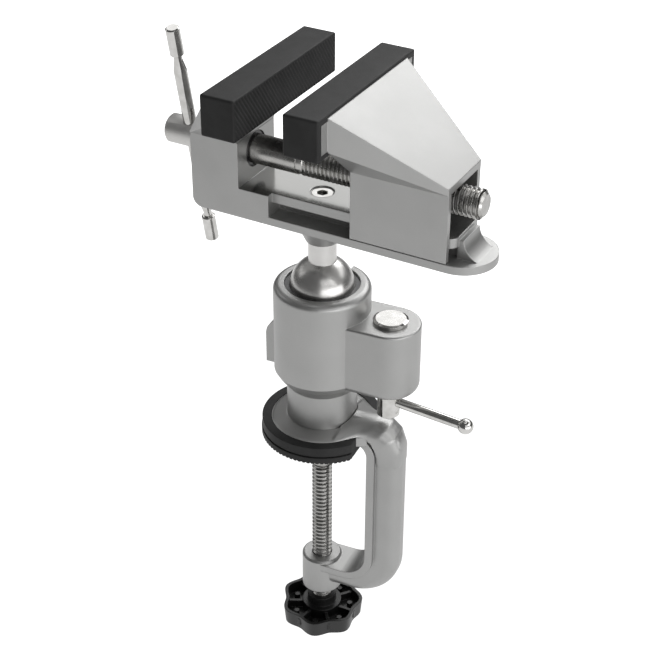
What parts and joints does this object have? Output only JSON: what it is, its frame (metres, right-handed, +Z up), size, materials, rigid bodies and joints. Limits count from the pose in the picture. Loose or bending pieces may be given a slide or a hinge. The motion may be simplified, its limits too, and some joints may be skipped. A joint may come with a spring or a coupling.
{
  "type": "ball vise",
  "caption": "Bench vise on a lockable ball joint: sliding jaw on a screw, rubber jaw covers, swivelling socket and a C-clamp for the bench edge.",
  "frame": {"origin": "centre of the rubber pad's underside, on the bench top's plane, on the axis of the clamp screw and the post", "axes": "+Z up along the post, +X along the vise screw from the fixed jaw to the moving jaw, +Y across the jaws"},
  "size_m": [0.1403, 0.075, 0.2704],
  "materials": {
    "cast_aluminium": "fine blasted and lacquered aluminium casting",
    "black_rubber": "matt black moulded rubber",
    "machined_steel": "turned zinc-plated steel",
    "black_plastic": "black moulded nylon, slight sheen",
    "white_nylon": "natural nylon",
    "black_oxide_steel": "black-oxide spring steel",
    "polished_steel": "polished nickel-plated steel"
  },
  "bodies": {
    "base": {"clamp_frame": "cast_aluminium", "platform_pad": "black_rubber", "swivel_washer": "machined_steel", "swivel_screw": "machined_steel"},
    "foot": {"pressure_foot": "machined_steel"},
    "clamp_spindle": {"clamp_screw": "machined_steel", "clamp_knob": "black_plastic", "knob_nut": "machined_steel"},
    "housing": {"ball_housing": "cast_aluminium", "ball_seat": "white_nylon", "retaining_ring": "black_oxide_steel"},
    "lever": {"lever_hub": "polished_steel", "lever_rod": "polished_steel", "lever_tip": "polished_steel"},
    "bolt": {"lock_bolt": "polished_steel"},
    "brake": {"brake_plunger": "machined_steel"},
    "ball": {"ball_stud": "machined_steel", "stem_screw": "polished_steel"},
    "head": {"vise_bed": "cast_aluminium", "fixed_jaw_cover": "black_rubber"},
    "vise_spindle": {"vise_screw": "machined_steel", "thrust_collar": "machined_steel", "collar_pin": "machined_steel", "screw_clip": "black_oxide_steel"},
    "jaw": {"moving_jaw": "cast_aluminium", "moving_jaw_cover": "black_rubber", "drive_nut": "machined_steel", "jaw_keeper": "cast_aluminium", "keeper_screws": "machined_steel"},
    "tommy_bar": {"bar_rod": "polished_steel", "bar_cap_upper": "polished_steel", "bar_cap_lower": "polished_steel"}
  },
  "joints": [
    {"name": "clamp_turn", "type": "hinge", "parent": "foot", "child": "clamp_spindle", "pos_m": [0, 0, 0], "axis": [0, 0, 1], "range_deg": [-8984, 344]},
    {"name": "foot_feed", "type": "slide", "parent": "base", "child": "foot", "axis": [0, 0, 1], "range_m": [-0.0499, 0.0019]},
    {"name": "housing_swivel", "type": "hinge", "parent": "base", "child": "housing", "pos_m": [0, 0, 0], "axis": [0, 0, 1], "continuous": true},
    {"name": "lever_turn", "type": "hinge", "parent": "housing", "child": "lever", "pos_m": [0.02919, 0.00255, 0], "axis": [0, 0, 1], "range_deg": [-100, 0]},
    {"name": "bolt_lift", "type": "slide", "parent": "housing", "child": "bolt", "axis": [0, 0, 1], "range_m": [0, 0.00027778]},
    {"name": "brake_slide", "type": "slide", "parent": "housing", "child": "brake", "axis": [0.7862, 0.0688, -0.6141], "range_m": [0, 0.0001]},
    {"name": "ball_tilt", "type": "hinge", "parent": "housing", "child": "ball", "pos_m": [0, 0, 0.0693], "axis": [0.9962, 0.0872, 0], "range_deg": [-90, 50]},
    {"name": "head_swivel", "type": "hinge", "parent": "ball", "child": "head", "pos_m": [0, 0, 0.0693], "axis": [0, 0, 1], "continuous": true},
    {"name": "main_screw_turn", "type": "hinge", "parent": "head", "child": "vise_spindle", "pos_m": [0, 0, 0.122], "axis": [1, 0, 0], "range_deg": [-5761, 4012]},
    {"name": "jaw_slide", "type": "slide", "parent": "head", "child": "jaw", "axis": [1, 0, 0], "range_m": [-0.0195, 0.028]},
    {"name": "tommy_slide", "type": "slide", "parent": "vise_spindle", "child": "tommy_bar", "axis": [0, -0.2079, 0.9781], "range_m": [-0.0295, 0.0354]}
  ],
  "couplings": [
    {"joint": "clamp_turn", "follows": "foot_feed", "rad_per_m": 3141.6},
    {"joint": "lever_turn", "follows": "bolt_lift", "rad_per_m": -6283.2},
    {"joint": "brake_slide", "follows": "bolt_lift", "ratio": 0.3581},
    {"joint": "main_screw_turn", "follows": "jaw_slide", "rad_per_m": -3590.4}
  ]
}
